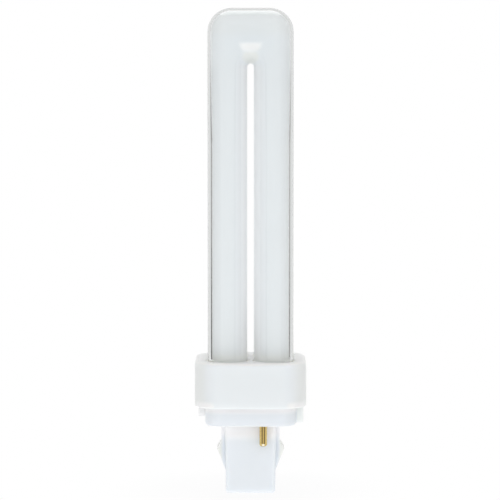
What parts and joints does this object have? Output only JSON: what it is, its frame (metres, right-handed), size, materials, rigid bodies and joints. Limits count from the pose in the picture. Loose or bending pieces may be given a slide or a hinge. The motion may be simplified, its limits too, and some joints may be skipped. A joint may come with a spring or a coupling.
{
  "type": "two-pin plug-in fluorescent lamp",
  "caption": "Compact fluorescent lamp with u shaped glass legs in a square moulded cap, on a plug with contact pins and a latching post.",
  "frame": {"origin": "middle of the flat end of the plug post, which the lamp stands on", "axes": "+Z along the lamp, from the plug to the bends; -Y is the front, where one u is seen face on; +X is to the right"},
  "size_m": [0.0352, 0.0352, 0.1535],
  "materials": {
    "tube_glass": "clear gloss over a white coating",
    "cap_plastic": "moulded satin white",
    "cement": "matt",
    "plug_plastic": "moulded satin white",
    "pin_brass": "bright drawn brass",
    "starter_glass": "clear gloss",
    "capacitor_case": "dipped resin",
    "lead_wire": "drawn wire"
  },
  "bodies": {
    "root": {"discharge_tube": "tube_glass", "tube_housing": "cap_plastic", "basing_cement": "cement", "base_plug": "plug_plastic", "contact_pin_front": "pin_brass", "contact_pin_rear": "pin_brass", "glow_starter": "starter_glass", "capacitor": "capacitor_case", "capacitor_leads": "lead_wire", "front_pin_lead": "lead_wire", "front_starter_lead": "lead_wire", "rear_pin_lead": "lead_wire", "rear_starter_lead": "lead_wire"}
  },
  "joints": []
}
